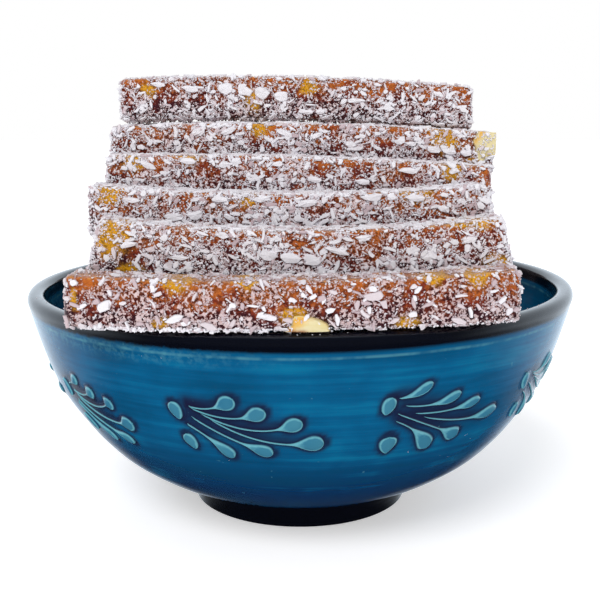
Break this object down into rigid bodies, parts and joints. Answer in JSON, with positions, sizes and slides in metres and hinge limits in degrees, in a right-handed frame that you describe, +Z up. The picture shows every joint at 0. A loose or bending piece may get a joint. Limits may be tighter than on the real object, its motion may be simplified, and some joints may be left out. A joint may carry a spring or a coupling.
{
  "type": "bowl of hazelnut cezerye",
  "caption": "Round footed bowl with a raised spray pattern, heaped with long coconut-coated hazelnut jelly bars laid side by side.",
  "frame": {"origin": "on the table, under the middle of the bowl", "axes": "+Z up, +X along the bars, +Y from the front of the heap to its back"},
  "size_m": [0.1796, 0.18, 0.1425],
  "materials": {
    "bowl_glaze": "glossy transparent turquoise glaze, dark at rim and foot",
    "coconut_jelly": "red-brown chewy jelly under white coconut",
    "kernel": "cream cut hazelnut"
  },
  "bodies": {
    "root": {"bar_1": "coconut_jelly", "bar_2": "coconut_jelly", "bar_3": "coconut_jelly", "bar_4": "coconut_jelly", "bar_5": "coconut_jelly", "bar_6": "coconut_jelly", "bar_column_1_1": "coconut_jelly", "bar_column_2_1": "coconut_jelly", "bar_column_2_2": "coconut_jelly", "bar_column_2_3": "coconut_jelly", "bar_column_3_1": "coconut_jelly", "bar_column_3_2": "coconut_jelly", "bar_column_3_3": "coconut_jelly", "bar_column_3_4": "coconut_jelly", "bar_column_3_5": "coconut_jelly", "bar_column_4_1": "coconut_jelly", "bar_column_4_2": "coconut_jelly", "bar_column_4_3": "coconut_jelly", "bar_column_4_4": "coconut_jelly", "bar_column_4_5": "coconut_jelly", "bar_column_4_6": "coconut_jelly", "bar_column_5_1": "coconut_jelly", "bar_column_5_2": "coconut_jelly", "bar_column_5_3": "coconut_jelly", "bar_column_5_4": "coconut_jelly", "bar_column_5_5": "coconut_jelly", "bar_column_5_6": "coconut_jelly", "bar_column_5_7": "coconut_jelly", "bar_column_6_1": "coconut_jelly", "bar_column_6_2": "coconut_jelly", "bar_column_6_3": "coconut_jelly", "bar_column_6_4": "coconut_jelly", "bar_column_6_5": "coconut_jelly", "bar_column_6_6": "coconut_jelly", "bar_column_7_1": "coconut_jelly", "bar_column_7_2": "coconut_jelly", "bar_column_7_3": "coconut_jelly", "bar_column_7_4": "coconut_jelly", "bar_column_8_1": "coconut_jelly", "bar_column_8_2": "coconut_jelly", "bar_rear_rim": "coconut_jelly", "bowl": "bowl_glaze", "hazelnut_end": "kernel", "hazelnut_front": "kernel"}
  },
  "joints": []
}
